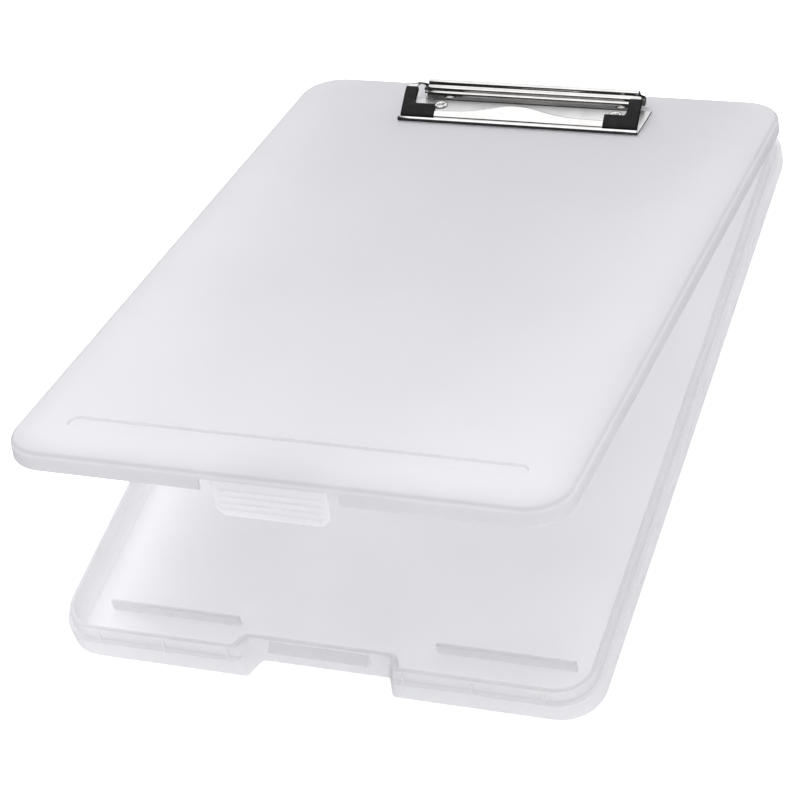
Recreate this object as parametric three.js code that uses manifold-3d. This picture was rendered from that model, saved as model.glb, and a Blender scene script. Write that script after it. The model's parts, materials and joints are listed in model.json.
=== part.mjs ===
// Storage clipboard: a shallow translucent case whose lid carries a low clip.
// Millimetres, +Z up. The origin is the centre of the tray's flat underside,
// +Y runs back to the lid hinge and +X to the right of someone facing the latch.

import * as THREE from 'three';
import { mergeVertices } from 'three/addons/utils/BufferGeometryUtils.js';
import Module from 'manifold-3d';

const wasm = await Module();
wasm.setup();

// ---------------------------------------------------------------- dimensions

const CASE_WIDTH = 237.6;
const CASE_DEPTH = 343;
const CORNER_RADIUS = 18;
const CLOSED_HEIGHT = 24.8;
const LID_OPEN_DEG = 15;
const FRONT_Y = -CASE_DEPTH / 2;
const BACK_Y = CASE_DEPTH / 2;

const RUNNING_GAP = 0.3;
const SEAT_GAP = 0.15;
const OVERCUT = 1;
const ARC_STEPS = 10;
const ROUND_SIDES = 28;
const FILLET_STEPS = 4;

const tray = {
  rimZ: 17,
  ledgeZ: 11,
  rimInset: 2.4,
  wall: 2,
  floor: 2,
  footRadius: 2.8,
  insideRadius: 2,
};

const stopRib = { innerX: 44, outerX: 104, y: -146.2, thickness: 1.8, topZ: 7 };
const gusset = { positions: [38.7, 68, 98], thickness: 1.2 };

const recess = {
  depth: 9,
  innerHalfBottom: 27.4,
  innerHalfTop: 32,
  flare: 4,
};
const catchRib = { halfWidth: 22, bottomZ: 10.6, topZ: 12.6, reach: 3.7 };

const lid = {
  bottomZ: 16.4,
  skirt: 1.4,
  plate: 1.8,
  edgeRadius: 2.6,
};
const groove = { halfLength: 97.5, width: 7.4, fromBack: 317.7, depth: 0.9 };

const tab = {
  setBack: 0.5,
  halfWidth: 24.3,
  slit: 5.4,
  topZ: 21.4,
  bottomZ: 5.3,
  thickness: 1.5,
  chamfer: 3,
  hookZ: 8.2,
  hookHeight: 1.9,
  hookReach: 3,
  ridgeZ: [8.4, 11.4, 14.4, 17.4],
  ridgeWidth: 1.3,
  ridgeHeight: 0.4,
};

const hinge = {
  y: 173.5,
  z: 18,
  barrel: 3,
  pin: 1.3,
  groupX: 72,
  knuckle: 9,
  middle: 19,
  clearance: 0.4,
};

const clip = {
  inset: 1.6,
  halfWidth: 59.1,
  backHalfWidth: 52.4,
  sheet: 0.8,
  baseBack: 8,
  wideBack: 17,
  lipY: 42.2,
  lipTop: 2.9,
  rodY: 13.2,
  rodZ: 4,
  rod: 1.2,
  jawInner: 53.2,
  jawOuter: 58.8,
  windowFront: 35.8,
  earInner: 44,
  earSheet: 1.2,
  earRadius: 2.2,
  eyeRadius: 2.3,
};
const fingerTab = { rise: 3.4, spread: 17, centre: -2 };
const cap = { outer: 59.8, inner: 52, frontEnd: 41.7, back: 25.5, front: 41.5, skin: 1.3 };
const rivet = { x: 43.4, y: 24, bore: 1, shank: 1.7, head: 3.3, tail: 2.7, washer: 4.4, sheet: 0.6 };
const spring = { coil: 1.75, wire: 0.38, turns: 5, startX: 46, pitch: 1, legLength: 3 };

// ----------------------------------------------------------------- materials

const colours = {
  caseClear: { color: 0xe4e5ea, roughness: 0.42, metalness: 0 },
  tabClear: { color: 0xeceef1, roughness: 0.3, metalness: 0 },
  nickel: { color: 0xc9c7c4, roughness: 0.16, metalness: 1 },
  steel: { color: 0xa9a9a8, roughness: 0.3, metalness: 1 },
  rubber: { color: 0x2b2b2d, roughness: 0.7, metalness: 0 },
};

function part(name, solid, look) {
  const mesh = new THREE.Mesh(geometryOf(solid), new THREE.MeshStandardMaterial(colours[look]));
  mesh.name = name;
  return mesh;
}

// ------------------------------------------------------------- solid helpers

function solidOf(geometry) {
  const bare = geometry.clone();
  bare.deleteAttribute('normal');
  bare.deleteAttribute('uv');
  const merged = mergeVertices(bare, 1e-4);
  return new wasm.Manifold(new wasm.Mesh({
    numProp: 3,
    vertProperties: Float32Array.from(merged.attributes.position.array),
    triVerts: Uint32Array.from(merged.index.array),
  }));
}

function geometryOf(solid) {
  const mesh = solid.getMesh();
  const geometry = new THREE.BufferGeometry();
  geometry.setAttribute('position', new THREE.BufferAttribute(mesh.vertProperties, mesh.numProp));
  geometry.setIndex(new THREE.BufferAttribute(mesh.triVerts, 1));
  geometry.computeVertexNormals();
  return geometry;
}

function join(...solids) {
  return solids.reduce((whole, piece) => whole.add(piece));
}

function cut(body, ...tools) {
  return tools.reduce((left, tool) => left.subtract(tool), body);
}

function box([x0, x1], [y0, y1], [z0, z1]) {
  const block = new THREE.BoxGeometry(x1 - x0, y1 - y0, z1 - z0);
  return solidOf(block.translate((x0 + x1) / 2, (y0 + y1) / 2, (z0 + z1) / 2));
}

// A plan outline raised from z0 to z1.
function raise(outline, z0, z1) {
  const block = new THREE.ExtrudeGeometry(outline, {
    depth: z1 - z0,
    bevelEnabled: false,
    curveSegments: ARC_STEPS,
  });
  return solidOf(block.translate(0, 0, z0));
}

// A side outline in (y, z) drawn out along X from x0 to x1.
const SIDE_TO_WORLD = new THREE.Matrix4().makeBasis(
  new THREE.Vector3(0, 1, 0),
  new THREE.Vector3(0, 0, 1),
  new THREE.Vector3(1, 0, 0),
);

function drawAlongX(outline, x0, x1) {
  const block = new THREE.ExtrudeGeometry(outline, { depth: x1 - x0, bevelEnabled: false });
  return solidOf(block.applyMatrix4(SIDE_TO_WORLD).translate(x0, 0, 0));
}

function rodAlongX(radius, x0, x1, y, z) {
  const rod = new THREE.CylinderGeometry(radius, radius, x1 - x0, ROUND_SIDES);
  return solidOf(rod.rotateZ(-Math.PI / 2).translate((x0 + x1) / 2, y, z));
}

function upright(radius, x, y, z0, z1) {
  const rod = new THREE.CylinderGeometry(radius, radius, z1 - z0, ROUND_SIDES);
  return solidOf(rod.rotateX(Math.PI / 2).translate(x, y, (z0 + z1) / 2));
}

function mirrored(from, to, side) {
  return side > 0 ? [from, to] : [-to, -from];
}

// ------------------------------------------------------------- case outlines

function roundedRect(width, depth, radius) {
  const x = width / 2 - radius;
  const y = depth / 2 - radius;
  const outline = new THREE.Shape();
  outline.absarc(x, y, radius, 0, Math.PI / 2);
  outline.absarc(-x, y, radius, Math.PI / 2, Math.PI);
  outline.absarc(-x, -y, radius, Math.PI, 1.5 * Math.PI);
  outline.absarc(x, -y, radius, 1.5 * Math.PI, 2 * Math.PI);
  outline.closePath();
  return outline;
}

function caseOutline(inset) {
  return roundedRect(CASE_WIDTH - 2 * inset, CASE_DEPTH - 2 * inset, CORNER_RADIUS - inset);
}

// A slab of the case outline with both its flat faces rounded off at the rim.
function pillow(inset, z0, z1, radius) {
  const slab = new THREE.ExtrudeGeometry(caseOutline(inset + radius), {
    depth: z1 - z0 - 2 * radius,
    bevelSize: radius,
    bevelThickness: radius,
    bevelSegments: FILLET_STEPS,
    curveSegments: ARC_STEPS,
  });
  return solidOf(slab.translate(0, 0, z0 + radius));
}

function slabAbove(z) {
  return box([-CASE_WIDTH, CASE_WIDTH], [-CASE_DEPTH, CASE_DEPTH], [z, z + 3 * CLOSED_HEIGHT]);
}

function slabBelow(z) {
  return box([-CASE_WIDTH, CASE_WIDTH], [-CASE_DEPTH, CASE_DEPTH], [z - 3 * CLOSED_HEIGHT, z]);
}

// ---------------------------------------------------------------------- tray

// The front notch for the latch, narrower at the foot than at the rim, with
// its outline grown by the given amount.
function recessPrism(grow) {
  const spread = recess.innerHalfTop / recess.innerHalfBottom;
  const inner = recess.innerHalfBottom + grow;
  const outer = inner + recess.flare;
  const mouth = outer + recess.flare;
  const inside = FRONT_Y + recess.depth + grow;
  const outside = FRONT_Y - recess.depth;
  const outline = new THREE.Shape();
  outline.moveTo(-inner, inside);
  outline.lineTo(-outer, FRONT_Y);
  outline.lineTo(-mouth, outside);
  outline.lineTo(mouth, outside);
  outline.lineTo(outer, FRONT_Y);
  outline.lineTo(inner, inside);
  outline.closePath();
  const height = tray.rimZ + 2 * OVERCUT;
  const block = new THREE.ExtrudeGeometry(outline, { depth: height, bevelEnabled: false });
  const corners = block.attributes.position;
  for (let i = 0; i < corners.count; i += 1) {
    const share = corners.getZ(i) / height;
    corners.setX(i, corners.getX(i) * (1 + share * (spread - 1)));
  }
  return solidOf(block.translate(0, 0, -OVERCUT));
}

// The wall round the notch, standing inside the compartment.
function recessWall() {
  const insideCase = raise(caseOutline(tray.rimInset + OVERCUT), tray.floor - OVERCUT, tray.rimZ);
  return recessPrism(tray.wall).intersect(insideCase).subtract(recessPrism(0));
}

function trayKnuckles(side) {
  const inner = hinge.middle / 2 + RUNNING_GAP;
  const outer = inner + hinge.knuckle;
  const spans = [[hinge.groupX + inner, hinge.groupX + outer], [hinge.groupX - outer, hinge.groupX - inner]];
  const knuckles = spans.map(([from, to]) => {
    const [x0, x1] = mirrored(from, to, side);
    const web = new THREE.Shape();
    web.moveTo(BACK_Y - tray.rimInset - tray.wall / 2, tray.ledgeZ - OVERCUT);
    web.lineTo(BACK_Y, tray.ledgeZ - OVERCUT);
    web.lineTo(hinge.y + hinge.barrel, hinge.z);
    web.lineTo(hinge.y - hinge.barrel, hinge.z);
    web.lineTo(BACK_Y - tray.rimInset - tray.wall / 2, tray.rimZ);
    web.closePath();
    return join(rodAlongX(hinge.barrel, x0, x1, hinge.y, hinge.z), drawAlongX(web, x0, x1));
  });
  return join(...knuckles);
}

function hingeBore(side, radius) {
  const reach = hinge.middle / 2 + hinge.knuckle + OVERCUT;
  const [x0, x1] = mirrored(hinge.groupX - reach, hinge.groupX + reach, side);
  return rodAlongX(radius, x0, x1, hinge.y, hinge.z);
}

function stopRibs() {
  return [-1, 1].map((side) => box(
    mirrored(stopRib.innerX, stopRib.outerX, side),
    [stopRib.y - stopRib.thickness / 2, stopRib.y + stopRib.thickness / 2],
    [tray.floor - OVERCUT, stopRib.topZ],
  ));
}

// Small upright ribs that stiffen the step below the rim.
function gussets() {
  const outline = new THREE.Shape();
  outline.moveTo(FRONT_Y + 0.1, tray.ledgeZ - OVERCUT);
  outline.lineTo(FRONT_Y + tray.rimInset + OVERCUT, tray.ledgeZ - OVERCUT);
  outline.lineTo(FRONT_Y + tray.rimInset + OVERCUT, lid.bottomZ - OVERCUT);
  outline.lineTo(FRONT_Y + tray.rimInset - 0.2, lid.bottomZ - OVERCUT);
  outline.closePath();
  return gusset.positions.flatMap((x) => [-x, x]).map((x) => (
    drawAlongX(outline, x - gusset.thickness / 2, x + gusset.thickness / 2)
  ));
}

function trayCatch() {
  const back = FRONT_Y + recess.depth + OVERCUT;
  const front = FRONT_Y + recess.depth - catchRib.reach;
  const outline = new THREE.Shape();
  outline.moveTo(back, catchRib.bottomZ);
  outline.lineTo(back, catchRib.topZ + catchRib.reach);
  outline.lineTo(FRONT_Y + recess.depth, catchRib.topZ + catchRib.reach);
  outline.lineTo(front, catchRib.topZ);
  outline.lineTo(front, catchRib.bottomZ);
  outline.closePath();
  return drawAlongX(outline, -catchRib.halfWidth, catchRib.halfWidth);
}

function makeTray() {
  const step = pillow(0, 0, tray.ledgeZ + 2 * tray.footRadius, tray.footRadius).subtract(slabAbove(tray.ledgeZ));
  const wall = raise(caseOutline(tray.rimInset), tray.footRadius, tray.rimZ);
  const inside = pillow(
    tray.rimInset + tray.wall,
    tray.floor,
    tray.rimZ + 2 * tray.insideRadius,
    tray.insideRadius,
  );
  const shell = cut(join(step, wall), inside, recessPrism(0));
  const hinges = [-1, 1].map(trayKnuckles);
  const whole = join(shell, recessWall(), trayCatch(), ...stopRibs(), ...gussets(), ...hinges);
  const bores = [-1, 1].map((side) => hingeBore(side, hinge.pin + RUNNING_GAP));
  return cut(whole, ...bores);
}

function makeHingePin(side) {
  const reach = hinge.middle / 2 + hinge.knuckle;
  const [x0, x1] = mirrored(hinge.groupX - reach, hinge.groupX + reach, side);
  return rodAlongX(hinge.pin, x0, x1, hinge.y, hinge.z);
}

// ----------------------------------------------------------------------- lid

function lidKnuckle(side) {
  const [x0, x1] = mirrored(hinge.groupX - hinge.middle / 2, hinge.groupX + hinge.middle / 2, side);
  const web = new THREE.Shape();
  const skirtFace = BACK_Y - lid.skirt / 2;
  web.moveTo(skirtFace, lid.bottomZ);
  web.lineTo(hinge.y, hinge.z - hinge.barrel);
  web.lineTo(hinge.y + hinge.barrel, hinge.z);
  web.lineTo(hinge.y + hinge.barrel / 2, hinge.z + hinge.barrel * 0.9);
  web.lineTo(skirtFace, hinge.z + hinge.barrel);
  web.closePath();
  return join(rodAlongX(hinge.barrel, x0, x1, hinge.y, hinge.z), drawAlongX(web, x0, x1));
}

// Room in the lid's back edge for the tray's knuckles.
function knuckleNotches(side) {
  const inner = hinge.middle / 2;
  const outer = inner + hinge.knuckle + 2 * RUNNING_GAP;
  const radius = hinge.barrel + hinge.clearance;
  const spans = [[hinge.groupX + inner, hinge.groupX + outer], [hinge.groupX - outer, hinge.groupX - inner]];
  return spans.map(([from, to]) => {
    const [x0, x1] = mirrored(from, to, side);
    const below = box(
      [x0, x1],
      [BACK_Y - lid.skirt - OVERCUT, BACK_Y + OVERCUT],
      [lid.bottomZ - OVERCUT, hinge.z],
    );
    return join(rodAlongX(radius, x0, x1, hinge.y, hinge.z), below);
  });
}

function grooveCutter() {
  const radius = groove.width / 2;
  const outline = new THREE.Shape();
  outline.absarc(groove.halfLength - radius, 0, radius, -Math.PI / 2, Math.PI / 2);
  outline.absarc(radius - groove.halfLength, 0, radius, Math.PI / 2, 1.5 * Math.PI);
  outline.closePath();
  return raise(outline, CLOSED_HEIGHT - groove.depth, CLOSED_HEIGHT + OVERCUT)
    .translate([0, BACK_Y - groove.fromBack, 0]);
}

function tabOpening() {
  const half = tab.halfWidth + tab.slit;
  return box(
    [-half, half],
    [FRONT_Y - OVERCUT, FRONT_Y + tab.setBack + tab.thickness + OVERCUT],
    [lid.bottomZ - OVERCUT, tab.topZ + RUNNING_GAP],
  );
}

function makeLid() {
  const outer = pillow(0, lid.bottomZ - 2 * lid.edgeRadius, CLOSED_HEIGHT, lid.edgeRadius);
  const inner = pillow(
    lid.skirt,
    lid.bottomZ - 3 * lid.edgeRadius,
    CLOSED_HEIGHT - lid.plate,
    lid.edgeRadius - lid.skirt,
  );
  const shell = cut(outer, slabBelow(lid.bottomZ), inner, tabOpening(), grooveCutter());
  const notched = cut(shell, ...knuckleNotches(-1), ...knuckleNotches(1));
  const holes = [-1, 1].map((side) => upright(
    rivet.shank + RUNNING_GAP,
    side * rivet.x,
    BACK_Y - clip.inset - rivet.y,
    lid.bottomZ,
    CLOSED_HEIGHT + OVERCUT,
  ));
  const bores = [-1, 1].map((side) => hingeBore(side, hinge.pin + RUNNING_GAP));
  return cut(join(notched, lidKnuckle(-1), lidKnuckle(1)), ...holes, ...bores);
}

// The springy tongue in the lid's front edge, with its hook and finger ridges.
function makeLatchTab() {
  const outline = new THREE.Shape();
  outline.moveTo(-tab.halfWidth, tab.topZ);
  outline.lineTo(-tab.halfWidth, tab.bottomZ + tab.chamfer);
  outline.lineTo(-tab.halfWidth + tab.chamfer, tab.bottomZ);
  outline.lineTo(tab.halfWidth - tab.chamfer, tab.bottomZ);
  outline.lineTo(tab.halfWidth, tab.bottomZ + tab.chamfer);
  outline.lineTo(tab.halfWidth, tab.topZ);
  outline.closePath();
  const front = FRONT_Y + tab.setBack;
  const inner = front + tab.thickness;
  const middle = front + tab.thickness / 2;
  const sheet = new THREE.ExtrudeGeometry(outline, { depth: tab.thickness, bevelEnabled: false });
  const plate = solidOf(sheet.rotateX(Math.PI / 2).translate(0, inner, 0));
  const hook = new THREE.Shape();
  hook.moveTo(middle, tab.hookZ - tab.hookReach + tab.ridgeWidth);
  hook.lineTo(inner, tab.hookZ - tab.hookReach + tab.ridgeWidth);
  hook.lineTo(inner + tab.hookReach, tab.hookZ);
  hook.lineTo(inner + tab.hookReach, tab.hookZ + tab.hookHeight);
  hook.lineTo(middle, tab.hookZ + tab.hookHeight);
  hook.closePath();
  const ridges = tab.ridgeZ.map((z) => box(
    [-tab.halfWidth + tab.chamfer, tab.halfWidth - tab.chamfer],
    [front - tab.ridgeHeight, middle],
    [z - tab.ridgeWidth / 2, z + tab.ridgeWidth / 2],
  ));
  return join(plate, drawAlongX(hook, -catchRib.halfWidth, catchRib.halfWidth), ...ridges);
}

// ---------------------------------------------------------------------- clip
// The clip's own frame has its origin on the lid's top face, just inside the
// lid's back edge, so that y is minus the distance forward and z the height.

function side(forward, height) {
  return new THREE.Vector2(-forward, height);
}

// A closed outline that follows a centre line at half the thickness each side.
function strip(centre, thickness) {
  const points = new THREE.SplineCurve(centre).getPoints(centre.length * 3);
  const edges = [1, -1].map((turn) => points.map((point, i) => {
    const before = points[Math.max(i - 1, 0)];
    const after = points[Math.min(i + 1, points.length - 1)];
    const along = after.clone().sub(before).normalize();
    const normal = new THREE.Vector2(-along.y, along.x).multiplyScalar(turn * thickness / 2);
    return point.clone().add(normal);
  }));
  return new THREE.Shape([...edges[0], ...edges[1].reverse()]);
}

function sheetStrip(centre, thickness, x0, x1) {
  return drawAlongX(strip(centre, thickness), x0, x1);
}

const baseCentre = SEAT_GAP + clip.sheet / 2;
const baseTop = SEAT_GAP + clip.sheet;

const jawLine = [
  side(clip.rodY - 0.6, clip.rodZ + clip.eyeRadius - 0.5),
  side(18.5, 9.6),
  side(24, 11.7),
  side(27.5, 11.6),
  side(32, 9.6),
  side(35.8, 6.8),
  side(38.6, 3.4),
  side(39.7, 1.9),
];

const coverLine = [
  side(9.3, baseTop + RUNNING_GAP),
  side(10.2, 4.4),
  side(12.3, 8.3),
  side(13.5, 8.3),
  side(14.1, 6.9),
  side(15.5, 6.1),
  side(16.1, 4.6),
  side(17.4, 3.9),
  side(18.1, 2.5),
  side(19.6, baseTop + RUNNING_GAP),
];

function ear(direction) {
  const [x0, x1] = mirrored(clip.earInner, clip.earInner + clip.earSheet, direction);
  const outline = new THREE.Shape();
  outline.absarc(-clip.rodY, clip.rodZ, clip.earRadius, 0, Math.PI);
  outline.lineTo(-clip.rodY - clip.earRadius, baseCentre);
  outline.lineTo(-clip.rodY + clip.earRadius, baseCentre);
  outline.closePath();
  return drawAlongX(outline, x0, x1);
}

function makeBasePlate() {
  const lipLine = [
    side(clip.lipY - 3, baseCentre),
    side(clip.lipY - 1.2, baseCentre),
    side(clip.lipY - 0.3, baseCentre + 0.4),
    side(clip.lipY, clip.lipTop - 1),
    side(clip.lipY, clip.lipTop),
  ];
  const sheet = box(
    [-clip.halfWidth, clip.halfWidth],
    [2 - clip.lipY, -clip.baseBack],
    [SEAT_GAP, baseTop],
  );
  const lip = sheetStrip(lipLine, clip.sheet, -clip.halfWidth, clip.halfWidth);
  const corners = [-1, 1].map((direction) => box(
    mirrored(clip.backHalfWidth, clip.halfWidth + OVERCUT, direction),
    [-clip.wideBack, 0],
    [-OVERCUT, baseTop + OVERCUT],
  ));
  const rivetHoles = [-1, 1].map((direction) => upright(
    rivet.shank + RUNNING_GAP,
    direction * rivet.x,
    -rivet.y,
    -OVERCUT,
    baseTop + OVERCUT,
  ));
  const rodHole = rodAlongX(
    clip.rod + RUNNING_GAP,
    -clip.halfWidth,
    clip.halfWidth,
    -clip.rodY,
    clip.rodZ,
  );
  return cut(join(sheet, lip, ear(-1), ear(1)), ...corners, ...rivetHoles, rodHole);
}

// The window between the jaw's arms. Its front edge dips round the finger tab.
function windowOutline(half, front) {
  const outline = new THREE.Shape();
  const steps = 24;
  outline.moveTo(half, 0);
  outline.lineTo(half, -front);
  for (let i = 1; i < steps; i += 1) {
    const x = half - (2 * half * i) / steps;
    const bell = Math.exp(-(((x - fingerTab.centre) / fingerTab.spread) ** 2));
    outline.lineTo(x, -front + fingerTab.rise * bell);
  }
  outline.lineTo(-half, -front);
  outline.lineTo(-half, 0);
  outline.closePath();
  return outline;
}

function jawBlank(thickness) {
  const sheet = sheetStrip(jawLine, thickness, -clip.jawOuter, clip.jawOuter);
  const eye = rodAlongX(clip.eyeRadius, -clip.jawOuter, clip.jawOuter, -clip.rodY, clip.rodZ);
  return join(sheet, eye);
}

function makeJaw() {
  const window = raise(windowOutline(clip.jawInner, clip.windowFront), 0, 20);
  const bore = rodAlongX(
    clip.rod + RUNNING_GAP,
    -clip.jawOuter - OVERCUT,
    clip.jawOuter + OVERCUT,
    -clip.rodY,
    clip.rodZ,
  );
  return cut(jawBlank(clip.sheet), window, bore);
}

// An L-shaped rubber corner that grips one arm and the end of the front bar.
function makeCap(direction) {
  const bend = 2;
  const innerFront = clip.windowFront - 0.9;
  const outline = new THREE.Shape();
  outline.moveTo(cap.inner, -cap.back);
  outline.lineTo(cap.inner, bend - innerFront);
  outline.quadraticCurveTo(cap.inner, -innerFront, cap.inner - bend, -innerFront);
  outline.lineTo(cap.frontEnd + 1, -innerFront);
  outline.lineTo(cap.frontEnd, -innerFront - 1.2);
  outline.lineTo(cap.frontEnd, -cap.front - OVERCUT);
  outline.lineTo(cap.outer - 3, -cap.front - OVERCUT);
  outline.quadraticCurveTo(cap.outer, -cap.front, cap.outer, 4 - cap.front);
  outline.lineTo(cap.outer, -cap.back);
  outline.closePath();
  const plan = raise(outline, baseTop + RUNNING_GAP, 20);
  const bulk = sheetStrip(jawLine, clip.sheet + 2 * cap.skin, 0, cap.outer);
  const windowGap = raise(
    windowOutline(clip.jawInner - RUNNING_GAP, clip.windowFront - RUNNING_GAP),
    0,
    20,
  );
  const room = cut(
    sheetStrip(jawLine, clip.sheet + 2 * RUNNING_GAP, 0, clip.jawOuter + RUNNING_GAP),
    windowGap,
  );
  const corner = cut(bulk.intersect(plan), room);
  return direction > 0 ? corner : corner.mirror([1, 0, 0]);
}

function makeCover() {
  return sheetStrip(coverLine, 0.55, -clip.backHalfWidth, clip.backHalfWidth);
}

function makeRod() {
  const reach = clip.jawOuter + 1;
  return rodAlongX(clip.rod, -reach, reach, -clip.rodY, clip.rodZ);
}

// A torsion spring: a coil round the rod with a leg along the base plate.
function makeSpring(direction) {
  const stepsPerTurn = 10;
  const steps = spring.turns * stepsPerTurn;
  const points = [];
  for (let i = 0; i <= steps; i += 1) {
    const angle = -Math.PI / 2 + (2 * Math.PI * i) / stepsPerTurn;
    points.push(new THREE.Vector3(
      spring.startX + (spring.pitch * i) / stepsPerTurn,
      -clip.rodY + spring.coil * Math.cos(angle),
      clip.rodZ + spring.coil * Math.sin(angle),
    ));
  }
  points.unshift(points[0].clone().add(new THREE.Vector3(0, -spring.legLength, 0)));
  const coil = new THREE.CatmullRomCurve3(points, false, 'centripetal');
  const section = new THREE.Shape().absarc(0, 0, spring.wire, 0, 2 * Math.PI);
  const wire = new THREE.ExtrudeGeometry(section, {
    steps: steps + 4,
    extrudePath: coil,
    curveSegments: 4,
  });
  const solid = solidOf(wire);
  return direction > 0 ? solid : solid.mirror([1, 0, 0]);
}

function ringOf(profile) {
  const points = profile.map(([radius, height]) => new THREE.Vector2(radius, height));
  points.push(points[0].clone());
  return solidOf(new THREE.LatheGeometry(points, ROUND_SIDES).rotateX(Math.PI / 2));
}

const underside = -lid.plate - SEAT_GAP;

// A tubular rivet: a rolled head on the base plate and a flared tail below.
function makeRivet(direction) {
  const headFoot = baseTop + SEAT_GAP;
  const tailTop = underside - rivet.sheet - SEAT_GAP;
  const profile = [
    [rivet.bore, tailTop - 0.5],
    [rivet.tail, tailTop - 0.5],
    [rivet.tail, tailTop],
    [rivet.shank, tailTop],
    [rivet.shank, headFoot],
    [rivet.head, headFoot],
    [rivet.head, headFoot + 0.3],
    [rivet.head - 0.8, headFoot + 0.8],
    [rivet.bore + 0.5, headFoot + 0.7],
    [rivet.bore, headFoot + 0.2],
  ];
  return ringOf(profile).translate([direction * rivet.x, -rivet.y, 0]);
}

function makeWasher(direction) {
  const inner = rivet.shank + RUNNING_GAP;
  const profile = [
    [inner, underside - rivet.sheet],
    [rivet.washer, underside - rivet.sheet],
    [rivet.washer, underside],
    [inner, underside],
  ];
  return ringOf(profile).translate([direction * rivet.x, -rivet.y, 0]);
}

// ------------------------------------------------------------------ assembly

const clipGroup = new THREE.Group();
clipGroup.position.set(0, BACK_Y - clip.inset, CLOSED_HEIGHT);
clipGroup.add(
  part('clip_base_plate', makeBasePlate(), 'nickel'),
  part('clip_jaw', makeJaw(), 'nickel'),
  part('clip_spring_cover', makeCover(), 'nickel'),
  part('clip_hinge_rod', makeRod(), 'steel'),
);
for (const [word, direction] of [['left', -1], ['right', 1]]) {
  clipGroup.add(
    part(`rubber_corner_${word}`, makeCap(direction), 'rubber'),
    part(`torsion_spring_${word}`, makeSpring(direction), 'steel'),
    part(`clip_rivet_${word}`, makeRivet(direction), 'nickel'),
    part(`rivet_washer_${word}`, makeWasher(direction), 'steel'),
  );
}

const closedLid = new THREE.Group();
closedLid.position.set(0, -hinge.y, -hinge.z);
closedLid.add(
  part('lid', makeLid(), 'caseClear'),
  part('latch_tab', makeLatchTab(), 'tabClear'),
  clipGroup,
);

const raisedLid = new THREE.Group();
raisedLid.position.set(0, hinge.y, hinge.z);
raisedLid.rotation.x = THREE.MathUtils.degToRad(-LID_OPEN_DEG);
raisedLid.add(closedLid);

const storageClipboard = new THREE.Group();
storageClipboard.add(
  part('tray', makeTray(), 'caseClear'),
  part('hinge_pin_left', makeHingePin(-1), 'steel'),
  part('hinge_pin_right', makeHingePin(1), 'steel'),
  raisedLid,
);

export default storageClipboard;
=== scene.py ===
"""Looks of the storage clipboard: a frosted case, its nickel clip and rubber corners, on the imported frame.

Shapes are drawn in millimetres with the lid shut, in the frame's axes, and then turn with the lid to the
frame's rest pose. The clip has a frame of its own: its origin is on the lid's top face near the back edge,
y is minus the distance forward and z is the height above the lid.
"""

import json
import math

import bmesh
import bpy
from mathutils import Matrix, Vector


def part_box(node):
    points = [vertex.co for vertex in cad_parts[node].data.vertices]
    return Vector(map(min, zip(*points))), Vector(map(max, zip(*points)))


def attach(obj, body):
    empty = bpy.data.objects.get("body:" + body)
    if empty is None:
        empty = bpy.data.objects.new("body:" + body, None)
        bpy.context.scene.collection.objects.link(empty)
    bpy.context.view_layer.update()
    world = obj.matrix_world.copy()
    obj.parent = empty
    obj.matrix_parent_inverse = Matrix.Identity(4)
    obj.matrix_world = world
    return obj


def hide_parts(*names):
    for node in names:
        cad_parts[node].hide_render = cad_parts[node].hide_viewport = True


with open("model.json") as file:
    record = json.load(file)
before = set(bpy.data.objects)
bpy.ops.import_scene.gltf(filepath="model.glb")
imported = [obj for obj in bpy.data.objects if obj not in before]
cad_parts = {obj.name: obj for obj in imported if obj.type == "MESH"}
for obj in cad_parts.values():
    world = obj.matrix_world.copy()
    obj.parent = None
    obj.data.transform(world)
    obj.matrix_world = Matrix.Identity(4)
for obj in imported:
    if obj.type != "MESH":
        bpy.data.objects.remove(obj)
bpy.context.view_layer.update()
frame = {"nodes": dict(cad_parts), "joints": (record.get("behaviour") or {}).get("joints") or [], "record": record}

MM = 0.001

# --------------------------------------------------------------- dimensions

JOINTS = {joint["name"]: joint for joint in frame["joints"]}
LID_HINGE = Vector(JOINTS["lid_hinge"]["pos_m"]) / MM
LID_OPEN = -math.radians(JOINTS["lid_hinge"]["range_deg"][0])
OPENED = (
    Matrix.Translation(LID_HINGE)
    @ Matrix.Rotation(-LID_OPEN, 4, "X")
    @ Matrix.Translation(-LID_HINGE)
)

TRAY_LOW, TRAY_HIGH = (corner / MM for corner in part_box("tray"))
HALF_WIDTH = TRAY_HIGH.x
FRONT_Y = TRAY_LOW.y
BACK_Y = -FRONT_Y
CORNER = 18
CORNER_STEPS = 20

RIM_Z = 17
LEDGE_Z = 11
RIM_INSET = 2.4
WALL = 2
FLOOR = 2
FOOT = 2.8
INSIDE_ROUND = 2
RIM_ROUND = 0.85
LEDGE_ROUND = 0.6

NOTCH_DEPTH = 9
NOTCH_HALF_LOW = 27.4
NOTCH_HALF_HIGH = 32
NOTCH_FLARE = 4
NOTCH_OUTER_ROUND = 2.6
NOTCH_INNER_ROUND = 1.8
NOTCH_LEAST_ROUND = 0.5
NOTCH_STEPS = 7
NOTCH_TAPER = (-1, RIM_Z + 1)

LID_TOP = 24.8
LID_BOTTOM = 16.4
SKIRT = 1.4
PLATE = 1.8
LID_EDGE = 2.6
LIP_ROUND = 0.55
UNDER_ROUND = LID_EDGE - SKIRT + 0.4
FLAT_MARGIN = 0.4

TAB_HALF = 24.3
TAB_SLIT = 5.4
TAB_TOP = 21.4
OPENING_TOP = 21.8
OPENING_ROUND = 0.6
TAB_BOTTOM = 5.3
TAB_SET_BACK = 0.5
TAB_THICK = 1.5

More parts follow.
